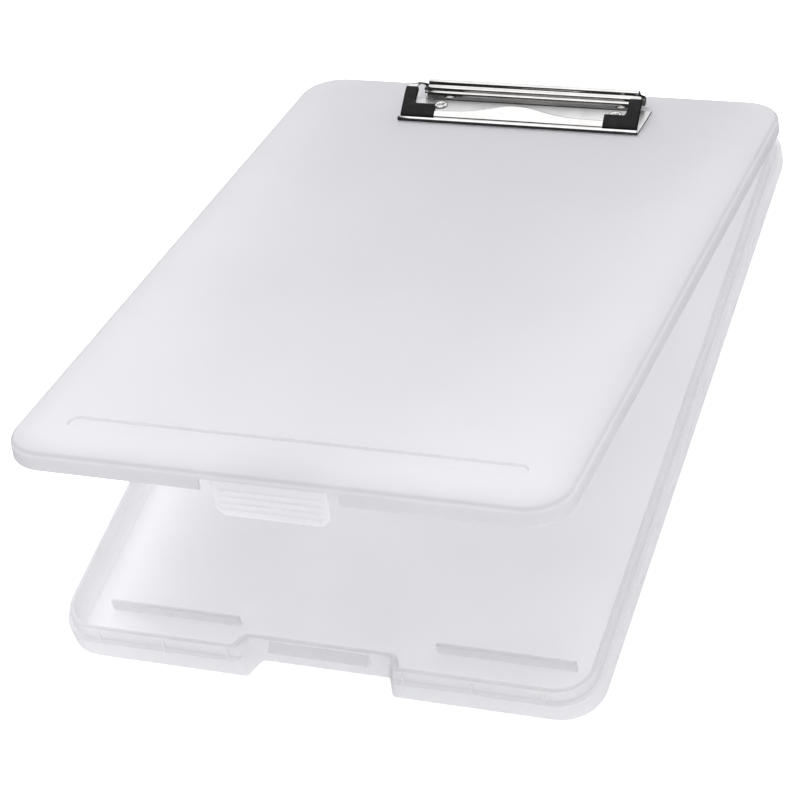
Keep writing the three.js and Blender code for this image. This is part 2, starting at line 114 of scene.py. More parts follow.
KNUCKLE = 9
MIDDLE_KNUCKLE = 19
KNUCKLE_X = 72
BARREL = 3
PIN = 1.3
PIN_SOFT = 0.3
PIN_SIDES = 28
KNUCKLE_SOFT = 0.3
KNUCKLE_ROOM = 0.9
RUN_GAP = 0.3
OVERCUT = 1

ROD_Y = -13.2
ROD_Z = 4
ROD_RADIUS = 1.2
ROD_SOFT = 0.35
ROD_SHUT = OPENED.inverted() @ (Vector(JOINTS["clip_jaw_hinge"]["pos_m"]) / MM)
CLIP_ORIGIN = ROD_SHUT - Vector((0, ROD_Y, ROD_Z))
CLIP = OPENED @ Matrix.Translation(CLIP_ORIGIN)

# ------------------------------------------------------------------- camera

CAMERA_AZIMUTH = 30.091
CAMERA_ELEVATION = 44.729
CAMERA_ROLL = -16.383
CAMERA_DISTANCE = 1.23906
CAMERA_TARGET = Vector((-0.018215, -0.010966, 0.0))
CAMERA_LENS = 124.86


def make_camera():
    azimuth, elevation, roll = (
        math.radians(v) for v in (CAMERA_AZIMUTH, CAMERA_ELEVATION, CAMERA_ROLL)
    )
    back = Vector((
        math.sin(azimuth) * math.cos(elevation),
        -math.cos(azimuth) * math.cos(elevation),
        math.sin(elevation),
    ))
    level = (-back).cross(Vector((0, 0, 1))).normalized()
    upward = level.cross(-back)
    right = math.cos(roll) * level + math.sin(roll) * upward
    up = math.cos(roll) * upward - math.sin(roll) * level
    data = bpy.data.cameras.new("camera")
    data.lens = CAMERA_LENS
    data.sensor_width = 36
    data.clip_end = 20
    camera = bpy.data.objects.new("camera", data)
    camera.matrix_world = Matrix.Translation(CAMERA_TARGET + back * CAMERA_DISTANCE) @ (
        Matrix((right, up, back)).transposed().to_4x4()
    )
    bpy.context.scene.collection.objects.link(camera)
    bpy.context.scene.camera = camera


# ---------------------------------------------------------------- materials


def smooth_step(nodes, links, source, span, out):
    """Adds a node that eases a value from one span of numbers into another."""
    node = nodes.new("ShaderNodeMapRange")
    node.interpolation_type = "SMOOTHSTEP"
    node.inputs["From Min"].default_value, node.inputs["From Max"].default_value = span
    node.inputs["To Min"].default_value, node.inputs["To Max"].default_value = out
    links.new(source, node.inputs["Value"])
    return node.outputs["Result"]


def combine(nodes, links, operation, first, second):
    """Adds a node that works one value out of two."""
    node = nodes.new("ShaderNodeMath")
    node.operation = operation
    links.new(first, node.inputs[0])
    links.new(second, node.inputs[1])
    return node.outputs["Value"]


def scaled(colour, factor):
    return tuple(part * factor for part in colour)


class Paint:
    """A node material with short calls for its nodes. Texture sizes are per metre."""

    def __init__(self, name):
        self.material = bpy.data.materials.new(name)
        self.material.use_nodes = True
        self.nodes = self.material.node_tree.nodes
        self.links = self.material.node_tree.links
        self.shader = self.nodes["Principled BSDF"]
        self.place = self.nodes.new("ShaderNodeTexCoord").outputs["Object"]

    def fix(self, **values):
        for socket, value in values.items():
            self.shader.inputs[socket.replace("_", " ")].default_value = value

    def noise(self, scale, detail=3.0, stretch=(1, 1, 1)):
        spread = self.nodes.new("ShaderNodeMapping")
        spread.inputs["Scale"].default_value = stretch
        self.links.new(self.place, spread.inputs["Vector"])
        node = self.nodes.new("ShaderNodeTexNoise")
        node.inputs["Scale"].default_value = scale
        node.inputs["Detail"].default_value = detail
        self.links.new(spread.outputs["Vector"], node.inputs["Vector"])
        return node.outputs["Fac"]

    def ramp(self, source, span, out=(0, 1)):
        return smooth_step(self.nodes, self.links, source, span, out)

    def add(self, first, second):
        return combine(self.nodes, self.links, "ADD", first, second)

    def mottle(self, source, span, first, second):
        """A colour that goes from the first to the second as the source crosses the span."""
        node = self.nodes.new("ShaderNodeMix")
        node.data_type = "RGBA"
        node.inputs["A"].default_value = (*first, 1)
        node.inputs["B"].default_value = (*second, 1)
        self.links.new(self.ramp(source, span), node.inputs["Factor"])
        return node.outputs["Result"]

    def colour(self, source):
        self.links.new(source, self.shader.inputs["Base Color"])

    def roughness(self, source):
        self.links.new(source, self.shader.inputs["Roughness"])

    def bump(self, *layers):
        """Stacks (height, strength, depth in metres) layers of relief."""
        below = None
        for height, strength, depth in layers:
            node = self.nodes.new("ShaderNodeBump")
            node.inputs["Strength"].default_value = strength
            node.inputs["Distance"].default_value = depth
            self.links.new(height, node.inputs["Height"])
            if below:
                self.links.new(below, node.inputs["Normal"])
            below = node.outputs["Normal"]
        self.links.new(below, self.shader.inputs["Normal"])

    def tone(self, colour, position, tones):
        """Scales a colour by a row of (position, factor) tones, to paint light and shade in bands by a position
        such as how squarely a surface faces.
        """
        row = self.nodes.new("ShaderNodeValToRGB")
        for spot, _ in tones[2:]:
            row.color_ramp.elements.new(spot)
        for stop, (spot, factor) in zip(row.color_ramp.elements, sorted(tones)):
            stop.position = spot
            stop.color = (factor, factor, factor, 1)
        self.links.new(position, row.inputs["Fac"])
        scale = self.nodes.new("ShaderNodeVectorMath")
        scale.operation = "MULTIPLY"
        self.links.new(colour, scale.inputs[0])
        self.links.new(row.outputs["Color"], scale.inputs[1])
        return scale.outputs["Vector"]

    def glow_through(self, colour, share):
        """Lets a share of the light pass through the surface and spread."""
        through = self.nodes.new("ShaderNodeBsdfTranslucent")
        self.links.new(colour, through.inputs["Color"])
        mix = self.nodes.new("ShaderNodeMixShader")
        mix.inputs["Fac"].default_value = share
        self.links.new(self.shader.outputs["BSDF"], mix.inputs[1])
        self.links.new(through.outputs["BSDF"], mix.inputs[2])
        self.links.new(mix.outputs["Shader"], self.nodes["Material Output"].inputs["Surface"])

    def facing(self, direction):
        """How squarely the surface faces a direction that stays put, from -1 to 1."""
        normal = self.nodes.new("ShaderNodeNewGeometry").outputs["Normal"]
        node = self.nodes.new("ShaderNodeVectorMath")
        node.operation = "DOT_PRODUCT"
        node.inputs[1].default_value = direction
        self.links.new(normal, node.inputs[0])
        return node.outputs["Value"]


def frosted_plastic(name, tint, clear, rough_flat, rough_round, up, painted_rim_light):
    """Frosted polypropylene: grained where it is flat and glossier round its rims, with painted highlight and
    painted shade in bands by how squarely the surface faces up.
    """
    paint = Paint(name)
    flat = paint.ramp(paint.facing(up), (0.9, 0.995))
    clouds = paint.noise(scale=14, detail=4)
    grain = paint.noise(scale=2600, detail=2)
    wear = paint.noise(scale=420, detail=5, stretch=(1, 0.18, 1))
    cloudy = paint.mottle(clouds, (0.3, 0.7), tint, scaled(tint, 0.985))
    # Painted highlight and painted shade: the colour is made lighter and darker in bands by how squarely the
    # surface faces up.
    shade = paint.tone(cloudy, paint.facing(up), painted_rim_light)
    paint.colour(shade)
    base = paint.ramp(flat, (0, 1), (rough_round, rough_flat))
    paint.roughness(paint.add(base, paint.ramp(wear, (0.35, 0.75), (-0.03, 0.06))))
    paint.bump((grain, 0.06, 0.00003), (clouds, 0.06, 0.0004))
    paint.fix(IOR=1.49, Specular_IOR_Level=0.5)
    paint.glow_through(shade, clear)
    return paint.material


def bright_nickel(name, tint, rough, satin=0.0, up=None):
    """Nickel plate on pressed sheet, with fine rub marks along the clip and a satin flat face if asked."""
    paint = Paint(name)
    marks = paint.noise(scale=900, detail=3, stretch=(0.06, 1, 1))
    smears = paint.noise(scale=120, detail=4)
    paint.colour(paint.mottle(smears, (0.35, 0.7), tint, scaled(tint, 0.9)))
    worn = paint.ramp(marks, (0.45, 0.7), (0, 0.03))
    sheen = paint.add(worn, paint.ramp(smears, (0.3, 0.75), (rough, rough + 0.03)))
    if up:
        sheen = paint.add(sheen, paint.ramp(paint.facing(up), (0.95, 0.995), (0, satin)))
    paint.roughness(sheen)
    paint.bump((marks, 0.03, 0.00002), (smears, 0.025, 0.0002))
    paint.fix(Metallic=1.0)
    return paint.material


def drawn_steel(name, clean, stained):
    """Drawn wire and plain sheet: grey, with lines along it and duller stains."""
    paint = Paint(name)
    lines = paint.noise(scale=1400, detail=2, stretch=(0.04, 1, 1))
    stains = paint.noise(scale=160, detail=4)
    paint.colour(paint.mottle(stains, (0.4, 0.75), clean, stained))
    paint.roughness(paint.ramp(lines, (0.3, 0.7), (0.2, 0.4)))
    paint.bump((lines, 0.15, 0.00004))
    paint.fix(Metallic=1.0)
    return paint.material


def moulded_rubber(name, clean, dusty):
    """Matt rubber with a fine grain and patches of dust."""
    paint = Paint(name)
    grain = paint.noise(scale=1900, detail=3)
    dust = paint.noise(scale=260, detail=5)
    paint.colour(paint.mottle(dust, (0.45, 0.75), clean, dusty))
    paint.roughness(paint.ramp(grain, (0.3, 0.7), (0.42, 0.58)))
    paint.bump((grain, 0.3, 0.00008), (dust, 0.15, 0.0002))
    paint.fix(Specular_IOR_Level=0.24)
    return paint.material


# Painted light: the tray and the latch tab take a lighter copy of the case plastic than the lid, standing in for
# the light that reaches the tray under the lid and the tab from below.
TRAY_TINT_PAINTED_LIGHTER = (0.9, 0.9, 0.912)
LID_TINT = (0.805, 0.803, 0.82)
NICKEL_TINT = (0.80, 0.79, 0.775)
BASE_TINT = (0.9, 0.895, 0.91)
# The sheets' cut edges: bare metal, made darker than any metal as painted shade for the dark lines along the
# edges.
CUT_EDGE_SHADE_TINT = (0.16, 0.155, 0.15)
STEEL_CLEAN, STEEL_STAINED = (0.58, 0.58, 0.59), (0.42, 0.41, 0.4)
RUBBER_CLEAN, RUBBER_DUSTY = (0.008, 0.008, 0.009), (0.016, 0.016, 0.0175)
# Painted light by how squarely the surface faces up: the lid's skirts and rounded edges lighter (painted
# highlight), the band beside its flat top darker (painted shade).
LID_PAINTED_HIGHLIGHT_AND_SHADE = [(0.0, 1.05), (0.12, 1.06), (0.3, 1.13), (0.55, 1.08), (0.75, 0.93), (0.92, 0.95), (0.99, 1.0)]
# The tray's walls and ribs painted lighter and the band beside its flat faces painted darker, by how squarely they
# face up.
TRAY_PAINTED_HIGHLIGHT_AND_SHADE = [(0.0, 1.06), (0.3, 1.06), (0.6, 1.03), (0.8, 0.96), (0.99, 1.0)]
TRAY_UP = Vector((0, 0, 1))
LID_UP = OPENED.to_3x3() @ TRAY_UP
TRAY_PLASTIC_PAINTED_LIGHTER = frosted_plastic(
    "tray_plastic_painted_lighter", TRAY_TINT_PAINTED_LIGHTER, clear=0.62, rough_flat=0.42, rough_round=0.3, up=TRAY_UP, painted_rim_light=TRAY_PAINTED_HIGHLIGHT_AND_SHADE
)
LID_PLASTIC = frosted_plastic(
    "lid_plastic", LID_TINT, clear=0.65, rough_flat=0.5, rough_round=0.2, up=LID_UP, painted_rim_light=LID_PAINTED_HIGHLIGHT_AND_SHADE
)
NICKEL = bright_nickel("nickel", NICKEL_TINT, rough=0.05)
BASE_NICKEL = bright_nickel("base_nickel", BASE_TINT, rough=0.05, satin=0.26, up=LID_UP)
CUT_EDGE_PAINTED_DARK = bright_nickel("cut_edge_painted_shade", CUT_EDGE_SHADE_TINT, rough=0.3)
STEEL = drawn_steel("spring_steel", STEEL_CLEAN, STEEL_STAINED)
RUBBER = moulded_rubber("black_rubber", RUBBER_CLEAN, RUBBER_DUSTY)

SLOT_MATERIAL = {
    "case_plastic": LID_PLASTIC,
    "nickel": NICKEL,
    "spring_steel": STEEL,
    "black_rubber": RUBBER,
}

# ------------------------------------------------------------ mesh building


WELD = 1e-4
SHARP = 32


def loft(bm, rings, closed=True, start_cap=False, end_cap=False):
    """Quads between rings that have the same number of points. Returns the rings' vertices."""
    rows = [[bm.verts.new(point) for point in ring] for ring in rings]
    count = len(rows[0])
    for low, high in zip(rows, rows[1:]):
        for i in range(count if closed else count - 1):
            j = (i + 1) % count
            bm.faces.new((low[i], low[j], high[j], high[i]))
    if start_cap:
        bm.faces.new(rows[0][::-1])
    if end_cap:
        bm.faces.new(rows[-1])
    return rows


def tidy_normals(bm):
    bmesh.ops.remove_doubles(bm, verts=bm.verts, dist=WELD)
    bmesh.ops.recalc_face_normals(bm, faces=bm.faces)


def shade(mesh, angle):
    mesh.shade_smooth()
    mesh.set_sharp_from_angle(angle=math.radians(angle))


def link_mesh(name, mesh):
    piece = bpy.data.objects.new(name, mesh)
    bpy.context.scene.collection.objects.link(piece)
    return piece


def finish_mesh(name, bm, place=Matrix(), angle=SHARP):
    tidy_normals(bm)
    mesh = bpy.data.meshes.new(name)
    bm.to_mesh(mesh)
    bm.free()
    mesh.transform(Matrix.Scale(MM, 4) @ place)
    shade(mesh, angle)
    return link_mesh(name, mesh)


def settle(piece, angle=SHARP):
    """Applies the piece's modifiers to its mesh."""
    view = bpy.context.evaluated_depsgraph_get()
    mesh = bpy.data.meshes.new_from_object(piece.evaluated_get(view))
    old = piece.data
    piece.modifiers.clear()
    piece.data = mesh
    bpy.data.meshes.remove(old)
    mesh.name = piece.name
    shade(mesh, angle)


def reseat(piece, *turns):
    """Moves a finished mesh by turns that are given in millimetres."""
    move = Matrix.Scale(MM, 4)
    for turn in turns:
        move = move @ turn
    piece.data.transform(move @ Matrix.Scale(1 / MM, 4))


def carve(piece, tool, operation):
    """Joins or cuts the piece by another object, which is used up."""
    change = piece.modifiers.new("carve", "BOOLEAN")
    change.operation = operation
    change.solver = "EXACT"
    change.object = tool
    settle(piece)
    mesh = tool.data
    bpy.data.objects.remove(tool)
    bpy.data.meshes.remove(mesh)


def place_piece(piece, body, slot, material, *nodes):
    """Tells the frame which body carries the piece and which CAD nodes it replaces."""
    if material not in list(piece.data.materials):
        piece.data.materials.clear()
        piece.data.materials.append(material)
    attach(piece, body)
    if nodes:
        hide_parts(*nodes)


def rounded(corners):
    """A plan outline through (x, y, radius, steps) corners, each turned by an arc."""
    points = []
    count = len(corners)
    for i, (x, y, radius, steps) in enumerate(corners):
        here = Vector((x, y))
        into = (here - Vector(corners[i - 1][:2])).normalized()
        out = (Vector(corners[(i + 1) % count][:2]) - here).normalized()
        turn = math.atan2(into.x * out.y - into.y * out.x, into.dot(out))
        start = here - into * radius * math.tan(abs(turn) / 2)
        side = Vector((-into.y, into.x)) * math.copysign(radius, turn)
        centre = start + side
        for k in range(steps + 1):
            points.append(centre + Matrix.Rotation(turn * k / steps, 2) @ (start - centre))
    return points


def quarter(steps):
    """(sine, cosine) over a quarter turn."""
    return [
        (math.sin(math.pi / 2 * k / steps), math.cos(math.pi / 2 * k / steps))
        for k in range(steps + 1)
    ]


def at_height(points, z):
    return [Vector((x, y, z)) for x, y in points]


def arc(y, z, radius, start, end, steps):
    """(y, z) points round a centre from one angle to another."""
    angles = [start + (end - start) * k / steps for k in range(steps + 1)]
    return [(y + radius * math.cos(angle), z + radius * math.sin(angle)) for angle in angles]


def mirrored(direction, inner, outer):
    """The span from inner to outer on one side of the middle, low end first."""
    return sorted((direction * inner, direction * outer))


def block(bm, low, high, round_off):
    """A box from corner to corner with rounded edges."""
    low, high = Vector(low), Vector(high)
    corners = bmesh.ops.create_cube(bm, size=1)["verts"]
    for corner in corners:
        corner.co = Vector(low[i] if corner.co[i] < 0 else high[i] for i in range(3))
    edges = list({edge for corner in corners for edge in corner.link_edges})
    bmesh.ops.bevel(bm, geom=edges, offset=round_off, segments=3, affect="EDGES", profile=0.5)


def along_x(bm, outline, x0, x1, soften=0.0):
    """A closed (y, z) outline drawn out along X, with its two ends shrunk a little to soften them."""
    centre = Vector((
        sum(p[0] for p in outline) / len(outline),
        sum(p[1] for p in outline) / len(outline),
    ))
    rings = []
    stations = [(x0, 0), (x1, 0)]
    if soften:
        stations = [(x0, soften), (x0 + soften, 0), (x1 - soften, 0), (x1, soften)]
    for x, shrink in stations:
        ring = []
        for y, z in outline:
            spoke = Vector((y, z)) - centre
            spoke *= max(0.0, 1 - shrink / max(spoke.length, 1e-6))
            ring.append(Vector((x, centre.x + spoke.x, centre.y + spoke.y)))
        rings.append(ring)
    loft(bm, rings, start_cap=True, end_cap=True)


def turned(bm, profile, centre, axis="Z", segments=48):
    """A profile of (radius, height) points turned about an axis; radius 0 closes it."""
    rows = []
    for k in range(segments):
        angle = 2 * math.pi * k / segments
        ring = []
        for radius, height in profile:
            across, up = radius * math.cos(angle), radius * math.sin(angle)
            spot = Vector((across, up, height)) if axis == "Z" else Vector((height, across, up))
            ring.append(centre + spot)
        rows.append(ring)
    rows.append(rows[0])
    loft(bm, rows, closed=False)


def pin_profile(radius, soft, steps, x0, x1):
    """The (radius, height) profile of a plain pin with softened ends."""
    profile = [(0, x0)]
    profile += [(radius - soft * (1 - s), x0 + soft * (1 - c)) for s, c in quarter(steps)]
    profile += [(radius - soft * (1 - c), x1 - soft * (1 - s)) for s, c in quarter(steps)]
    return profile + [(0, x1)]


# ---------------------------------------------------------------- the tray


def tray_outline(inset, grow, z):
    """The case's outline moved in, with the latch notch grown into the plastic."""
    share = (z - NOTCH_TAPER[0]) / (NOTCH_TAPER[1] - NOTCH_TAPER[0])
    widen = 1 + share * (NOTCH_HALF_HIGH / NOTCH_HALF_LOW - 1)
    depth = NOTCH_DEPTH + grow
    inner = (NOTCH_HALF_LOW + grow) * widen
    outer = inner + NOTCH_FLARE * widen * (1 - inset / depth)
    half = HALF_WIDTH - inset
    front = FRONT_Y + inset
    corner = CORNER - inset
    lip = max(NOTCH_LEAST_ROUND, NOTCH_OUTER_ROUND - grow)
    bend = NOTCH_INNER_ROUND + grow
    points = rounded([
        (half, front, corner, CORNER_STEPS),
        (half, -front, corner, CORNER_STEPS),
        (-half, -front, corner, CORNER_STEPS),
        (-half, front, corner, CORNER_STEPS),
        (-outer, front, lip, NOTCH_STEPS),
        (-inner, FRONT_Y + depth, bend, NOTCH_STEPS),
        (inner, FRONT_Y + depth, bend, NOTCH_STEPS),
        (outer, front, lip, NOTCH_STEPS),
    ])
    return at_height(points, z)


def tray_levels():
    """(inset, notch growth, height) from the foot up the outside, over the rim and down inside."""
    levels = [(FOOT + FLAT_MARGIN, FOOT + FLAT_MARGIN, 0)]
    levels += [(FOOT * (1 - s), FOOT * (1 - s), FOOT * (1 - c)) for s, c in quarter(7)]
    levels += [
        (LEDGE_ROUND * (1 - c), 0, LEDGE_Z - LEDGE_ROUND * (1 - s)) for s, c in quarter(4)
    ]
    levels += [
        (RIM_INSET - LEDGE_ROUND * (1 - s), 0, LEDGE_Z + LEDGE_ROUND * (1 - c)) for s, c in quarter(4)
    ]
    levels += [
        (RIM_INSET + RIM_ROUND * (1 - c), RIM_ROUND * (1 - c), RIM_Z - RIM_ROUND * (1 - s))
        for s, c in quarter(5)
    ]
    levels += [
        (
            RIM_INSET + WALL - RIM_ROUND * (1 - s),
            WALL - RIM_ROUND * (1 - s),
            RIM_Z - RIM_ROUND * (1 - c),
        )
        for s, c in quarter(5)
    ]
    levels += [
        (
            RIM_INSET + WALL + INSIDE_ROUND * (1 - c),
            WALL + INSIDE_ROUND * (1 - c),
            FLOOR + INSIDE_ROUND * (1 - s),
        )
        for s, c in quarter(6)
    ]
    floor_inset = WALL + INSIDE_ROUND + FLAT_MARGIN
    levels.append((RIM_INSET + floor_inset, floor_inset, FLOOR))
    return levels


STOP_RIB = {"inner": 44, "outer": 104, "y": -146.2, "thick": 1.8, "top": 7, "sunk": 0.8, "round": 0.55}
GUSSET = {"places": [38.7, 68, 98], "half": 0.6, "front": 0.25, "lean": 0.35, "sunk": 0.8}
GUSSET_BOTTOM = LEDGE_Z - 0.5
GUSSET_TOP = LID_BOTTOM - 1.3
CATCH = {"half": 22, "bottom": 10.6, "top": 12.6, "reach": 3.7, "chamfer": 0.3, "sunk": 0.8}
TRAY_WEB_INSIDE = BACK_Y - RIM_INSET - WALL / 2
TRAY_WEB = [
    (TRAY_WEB_INSIDE, RIM_Z - 1.2),
    (TRAY_WEB_INSIDE, LEDGE_Z - 0.8),
    (BACK_Y - 0.4, LEDGE_Z - 0.8),
]


def knuckle_outline(start, end, web):
    """A barrel outline in (y, z) round the hinge axis, with its web towards the case."""
    return arc(LID_HINGE.y, LID_HINGE.z, BARREL, start, end, 20) + web


def knuckle_spans(direction, inner, outer):
    """The two spans in X beside a middle knuckle."""
    spans = [(KNUCKLE_X + inner, KNUCKLE_X + outer), (KNUCKLE_X - outer, KNUCKLE_X - inner)]
    return [mirrored(direction, a, b) for a, b in spans]


def gusset_outline():
    rim = FRONT_Y + RIM_INSET
    return [
        (FRONT_Y + GUSSET["front"], GUSSET_BOTTOM),
        (rim + GUSSET["sunk"], GUSSET_BOTTOM),
        (rim + GUSSET["sunk"], GUSSET_TOP),
        (rim - GUSSET["lean"], GUSSET_TOP),
    ]


def catch_outline():
    """The rib on the notch's wall that the latch's hook catches."""
    root = FRONT_Y + NOTCH_DEPTH + CATCH["sunk"]
    tip = FRONT_Y + NOTCH_DEPTH - CATCH["reach"]
    return [
        (root, CATCH["bottom"]),
        (tip + CATCH["chamfer"], CATCH["bottom"]),
        (tip, CATCH["bottom"] + CATCH["chamfer"]),
        (tip, CATCH["top"]),
        (root, CATCH["top"] + CATCH["reach"]),
    ]


def tray_fittings():
    """Paper stops, gussets, the latch catch and the hinge knuckles, to be joined to the tray."""
    bm = bmesh.new()
    for direction in (-1, 1):
        x0, x1 = mirrored(direction, STOP_RIB["inner"], STOP_RIB["outer"])
        y = STOP_RIB["y"]
        half = STOP_RIB["thick"] / 2
        low = (x0, y - half, FLOOR - STOP_RIB["sunk"])
        block(bm, low, (x1, y + half, STOP_RIB["top"]), STOP_RIB["round"])
        for x in GUSSET["places"]:
            centre = direction * x
            along_x(bm, gusset_outline(), centre - GUSSET["half"], centre + GUSSET["half"])
        outline = knuckle_outline(-0.25 * math.pi, 0.85 * math.pi, TRAY_WEB)
        inner = MIDDLE_KNUCKLE / 2 + RUN_GAP
        for x0, x1 in knuckle_spans(direction, inner, inner + KNUCKLE):
            along_x(bm, outline, x0, x1, KNUCKLE_SOFT)
    along_x(bm, catch_outline(), -CATCH["half"], CATCH["half"])
    return finish_mesh("tray_fittings", bm)


def hinge_bore(direction, radius):
    bm = bmesh.new()
    reach = MIDDLE_KNUCKLE / 2 + KNUCKLE + OVERCUT
    x0, x1 = mirrored(direction, KNUCKLE_X - reach, KNUCKLE_X + reach)
    centre = Vector((0, LID_HINGE.y, LID_HINGE.z))
    turned(bm, [(0, x0), (radius, x0), (radius, x1), (0, x1)], centre, "X", PIN_SIDES)
    return finish_mesh("hinge_bore", bm)


def make_tray():
    bm = bmesh.new()
    rings = [tray_outline(*level) for level in tray_levels()]
    loft(bm, rings, start_cap=True, end_cap=True)
    piece = finish_mesh("tray_shell", bm)
    carve(piece, tray_fittings(), "UNION")
    for direction in (-1, 1):
        carve(piece, hinge_bore(direction, PIN + RUN_GAP), "DIFFERENCE")
    place_piece(piece, "tray_body", "case_plastic", TRAY_PLASTIC_PAINTED_LIGHTER, "tray")
    piece.visible_glossy = False


# ----------------------------------------------------------------- the lid

GROOVE = {"half": 97.5, "width": 7.4, "from_back": 317.7, "depth": 0.9, "lip": 0.5, "foot": 0.35}
GROOVE_END = 0.999
GROOVE_STEPS = 10
LID_WEB_Y = BACK_Y - SKIRT / 2
LID_WEB = [(LID_WEB_Y, LID_HINGE.z + BARREL - 0.1), (LID_WEB_Y, LID_BOTTOM + 0.4)]


def case_outline(inset, z):
    half = HALF_WIDTH - inset
    front = FRONT_Y + inset
    corner = CORNER - inset
    points = rounded([
        (half, front, corner, CORNER_STEPS),
        (half, -front, corner, CORNER_STEPS),
        (-half, -front, corner, CORNER_STEPS),
        (-half, front, corner, CORNER_STEPS),
    ])
    return at_height(points, z)


def groove_outline(grow, z):
    half = GROOVE["half"] + grow
    wide = GROOVE["width"] / 2 + grow
    y = BACK_Y - GROOVE["from_back"]
    radius = wide * GROOVE_END
    points = rounded([
        (half, y - wide, radius, GROOVE_STEPS),
        (half, y + wide, radius, GROOVE_STEPS),
        (-half, y + wide, radius, GROOVE_STEPS),
        (-half, y - wide, radius, GROOVE_STEPS),
    ])
    return at_height(points, z)


def lid_levels():
    """(inset, height) from the plate's underside down the skirt's inside and up its outside."""
    under = LID_TOP - PLATE
    levels = [(SKIRT + UNDER_ROUND + FLAT_MARGIN, under)]
    levels += [
        (SKIRT + UNDER_ROUND * (1 - s), under - UNDER_ROUND * (1 - c)) for s, c in quarter(6)
    ]
    levels += [
        (SKIRT - LIP_ROUND * (1 - c), LID_BOTTOM + LIP_ROUND * (1 - s)) for s, c in quarter(4)
    ]
    levels += [
        (LIP_ROUND * (1 - s), LID_BOTTOM + LIP_ROUND * (1 - c)) for s, c in quarter(4)
    ]
    levels += [
        (LID_EDGE * (1 - c), LID_TOP - LID_EDGE * (1 - s)) for s, c in quarter(9)
    ]
    levels.append((LID_EDGE + FLAT_MARGIN, LID_TOP))
    return levels


def ring_edges(bm, row):
    """The edges of a closed ring of vertices, made where they are missing."""
    pairs = [(row[i - 1], row[i]) for i in range(len(row))]
    return [bm.edges.get(pair) or bm.edges.new(pair) for pair in pairs]


def lid_shell():
    """The board with its skirt and its groove, before the cuts."""
    bm = bmesh.new()
    rows = loft(bm, [case_outline(*level) for level in lid_levels()], start_cap=True)
    lip, foot = GROOVE["lip"], GROOVE["foot"]
    bottom = LID_TOP - GROOVE["depth"]
    groove = [(lip + FLAT_MARGIN, LID_TOP)]
    groove += [(lip * (1 - s), LID_TOP - lip * (1 - c)) for s, c in quarter(4)]
    groove += [(-foot * (1 - c), bottom + foot * (1 - s)) for s, c in quarter(4)]
    groove.append((-foot - FLAT_MARGIN, bottom))
    walls = loft(bm, [groove_outline(*level) for level in groove], end_cap=True)
    bmesh.ops.triangle_fill(
        bm, use_beauty=True, edges=ring_edges(bm, rows[-1]) + ring_edges(bm, walls[0])
    )
    return bm


def lid_cuts():
    """The latch opening and the room for the tray's knuckles."""
    bm = bmesh.new()
    half = TAB_HALF + TAB_SLIT
    back = FRONT_Y + TAB_SET_BACK + TAB_THICK + OVERCUT
    low = (-half, FRONT_Y - 3 * OVERCUT, LID_BOTTOM - 4 * OVERCUT)
    block(bm, low, (half, back, OPENING_TOP), OPENING_ROUND)
    y, radius, foot = LID_HINGE.y, BARREL + KNUCKLE_ROOM, LID_BOTTOM - 2 * OVERCUT
    outline = arc(y, LID_HINGE.z, radius, 0, math.pi, 18) + [(y - radius, foot), (y + radius, foot)]
    inner = MIDDLE_KNUCKLE / 2
    for direction in (-1, 1):
        for x0, x1 in knuckle_spans(direction, inner, inner + KNUCKLE + 2 * RUN_GAP):
            along_x(bm, outline, x0, x1)
    return finish_mesh("lid_cuts", bm)


def lid_knuckles():
    bm = bmesh.new()
    half = MIDDLE_KNUCKLE / 2
    outline = knuckle_outline(-0.5 * math.pi, 0.5 * math.pi, LID_WEB)
    for direction in (-1, 1):
        x0, x1 = mirrored(direction, KNUCKLE_X - half, KNUCKLE_X + half)
        along_x(bm, outline, x0, x1, KNUCKLE_SOFT)
    return finish_mesh("lid_knuckles", bm)


def make_lid():
    piece = finish_mesh("lid_shell", lid_shell())
    carve(piece, lid_cuts(), "DIFFERENCE")
    carve(piece, lid_knuckles(), "UNION")
    for direction in (-1, 1):
        carve(piece, hinge_bore(direction, PIN + RUN_GAP), "DIFFERENCE")
    reseat(piece, OPENED)
    place_piece(piece, "lid_body", "case_plastic", LID_PLASTIC, "lid")
    piece.visible_glossy = False


# --------------------------------------------------------------- latch tab

TAB_ROUND = 0.45
TAB_CHAMFER = 3.4
TAB_RIDGES = [8.4, 11.4, 14.4, 17.4]
RIDGE_HALF = 0.95
RIDGE_HEIGHT = 0.4
RIDGE_INSET = 1.8
RIDGE_FADE = 1.0
TAB_STATIONS = [23.3, 22.5, 22.0, 21.9, 21.5, 20.9, 12, 0]
TAB_STEPS = 64
TAB_BACK_CHAMFER = (0.35, 0.5)
HOOK_Z = 8.2
HOOK_TOP = HOOK_Z + 1.9
HOOK_REACH = 3
HOOK_ROUND = 0.3
HOOK_FOOT = 0.9
HOOK_RAMP = 1.8
SIDE_GAP = 0.05
POINT_GAP = 0.02


def ridge_swell(z):
    """How far the finger ridges stand out of the tab's front at a height."""
    swell = 0.0
    for centre in TAB_RIDGES:
        away = abs(z - centre) / RIDGE_HALF
        if away < 1:
            swell = max(swell, 0.5 + 0.5 * math.cos(math.pi * away))
    return RIDGE_HEIGHT * swell


def round_drop(away):
    """How far a rounded edge falls back at a distance in from the edge."""
    if away >= TAB_ROUND:
        return 0.0
    return TAB_ROUND - math.sqrt(max(0.0, TAB_ROUND ** 2 - (TAB_ROUND - away) ** 2))


